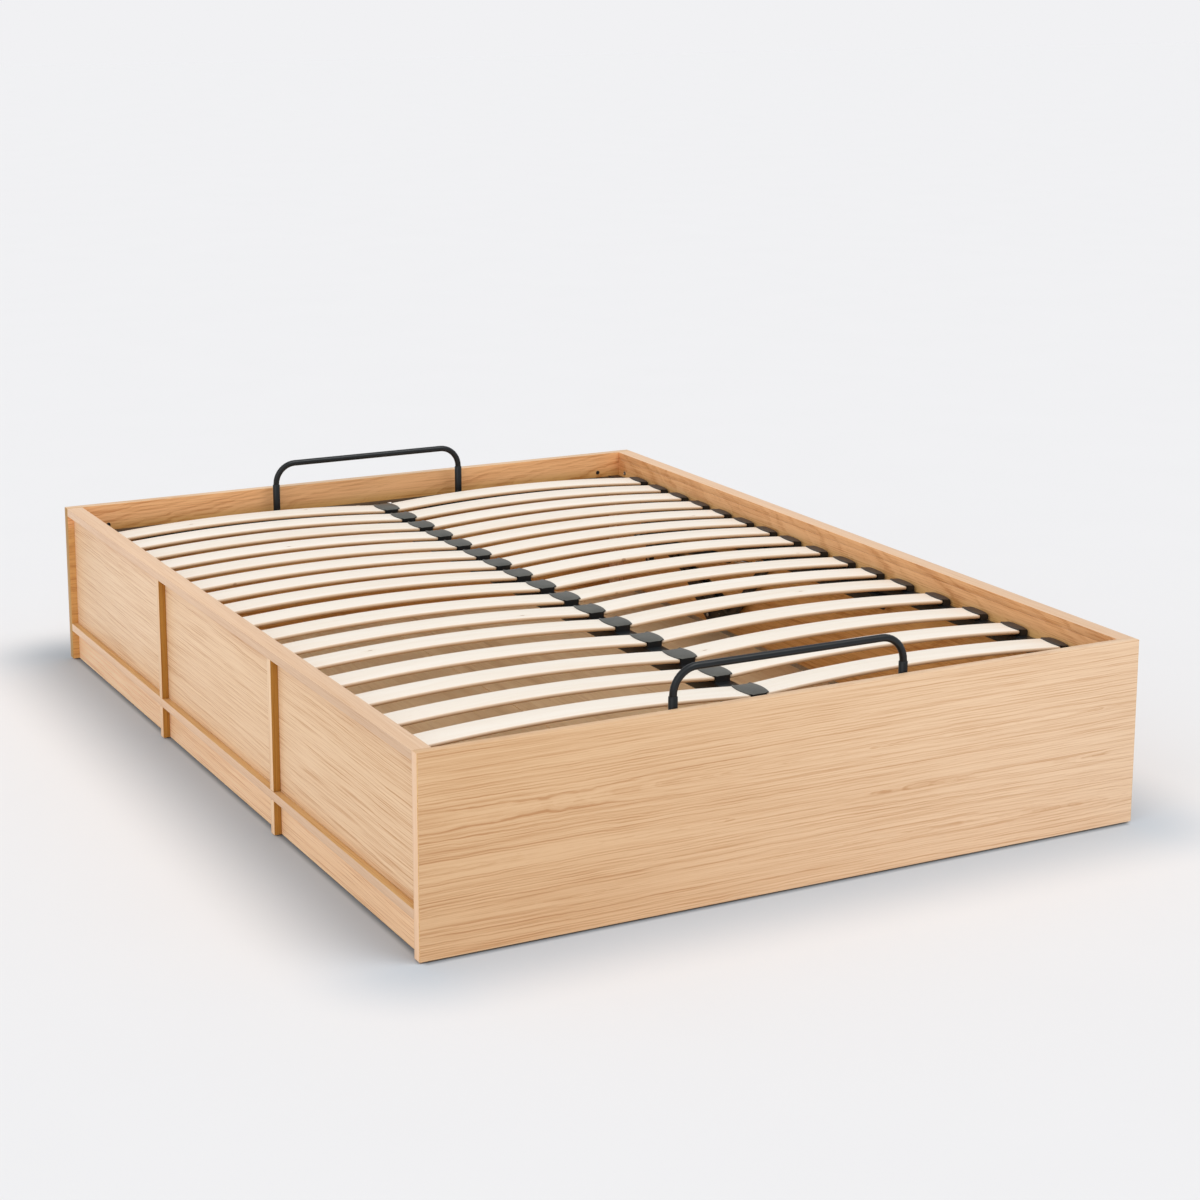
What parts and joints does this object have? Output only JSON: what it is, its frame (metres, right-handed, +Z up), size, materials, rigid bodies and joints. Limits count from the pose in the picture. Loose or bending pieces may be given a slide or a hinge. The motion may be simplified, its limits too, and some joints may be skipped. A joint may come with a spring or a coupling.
{
  "type": "ottoman bed",
  "caption": "Low double bed with an oak-veneered box, bowed slats on a steel base that lifts at the foot end on gas springs, and storage space under it.",
  "frame": {"origin": "on the ground, under the middle of the bed", "axes": "+X across the bed to the right seen from the foot end, +Y towards the head end, +Z up"},
  "size_m": [1.49, 2.05, 0.434],
  "materials": {
    "oak": "satin light oak veneer",
    "floor_board": "satin mid brown board",
    "birch": "satin pale birch, in dark plastic caps",
    "black_steel": "satin black powder coat",
    "zinc_steel": "zinc plated",
    "chrome": "polished",
    "grey_plastic": "matte dark grey"
  },
  "bodies": {
    "box": {"foot_board": "oak", "head_board": "oak", "side_panel_left": "oak", "cap_rail_left": "oak", "lower_rail_left": "oak", "batten_left_1": "oak", "batten_left_2": "oak", "corner_leg_foot_left": "oak", "corner_leg_head_left": "oak", "floor_panel_left": "floor_board", "floor_ledge_left": "zinc_steel", "hinge_plate_left": "black_steel", "spring_anchor_left": "black_steel", "side_panel_right": "oak", "cap_rail_right": "oak", "lower_rail_right": "oak", "batten_right_1": "oak", "batten_right_2": "oak", "corner_leg_foot_right": "oak", "corner_leg_head_right": "oak", "floor_panel_right": "floor_board", "floor_ledge_right": "zinc_steel", "hinge_plate_right": "black_steel", "spring_anchor_right": "black_steel", "floor_joint_strip": "floor_board"},
    "slatted_base": {"side_tube_left": "black_steel", "side_tube_right": "black_steel", "foot_tube": "black_steel", "head_tube": "black_steel", "centre_beam": "black_steel", "foot_arch": "black_steel", "head_arch": "black_steel", "base_bracket_left": "black_steel", "base_bracket_right": "black_steel", "slat_row_01": "birch", "slat_row_02": "birch", "slat_row_03": "birch", "slat_row_04": "birch", "slat_row_05": "birch", "slat_row_06": "birch", "slat_row_07": "birch", "slat_row_08": "birch", "slat_row_09": "birch", "slat_row_10": "birch", "slat_row_11": "birch", "slat_row_12": "birch", "slat_row_13": "birch", "slat_row_14": "birch", "slat_row_15": "birch", "slat_row_16": "birch"},
    "lift_levers": {"lift_lever_left": "black_steel", "lift_lever_right": "black_steel"},
    "rear_links": {"rear_link_left": "black_steel", "rear_link_right": "black_steel"},
    "gas_cylinders": {"gas_cylinder_left": "black_steel", "gas_cylinder_right": "black_steel"},
    "gas_rods": {"gas_rod_left": "chrome", "gas_rod_right": "chrome"}
  },
  "joints": [
    {"name": "lever_hinge", "type": "hinge", "parent": "box", "child": "lift_levers", "pos_m": [0, 0.407, 0.065], "axis": [1, 0, 0], "range_deg": [0, 25.6]},
    {"name": "base_hinge", "type": "hinge", "parent": "lift_levers", "child": "slatted_base", "pos_m": [0, 0.765, 0.19], "axis": [-1, 0, 0], "range_deg": [0, 61.6]},
    {"name": "rear_link_hinge", "type": "hinge", "parent": "box", "child": "rear_links", "pos_m": [0, 0.619, 0.13], "axis": [1, 0, 0], "range_deg": [0, 36.4]},
    {"name": "cylinder_hinge", "type": "hinge", "parent": "box", "child": "gas_cylinders", "pos_m": [0, 0.828, 0.18], "axis": [1, 0, 0], "range_deg": [0, 8.3]},
    {"name": "rod_slide", "type": "slide", "parent": "gas_cylinders", "child": "gas_rods", "axis": [0, -0.9957, 0.0931], "range_m": [0, 0.0578]}
  ],
  "couplings": [
    {"joint": "base_hinge", "follows": "lever_hinge", "ratio": 2.4036},
    {"joint": "rear_link_hinge", "follows": "lever_hinge", "ratio": 1.4193},
    {"joint": "cylinder_hinge", "follows": "lever_hinge", "ratio": 0.3235},
    {"joint": "rod_slide", "follows": "lever_hinge", "m_per_rad": 0.12918}
  ]
}
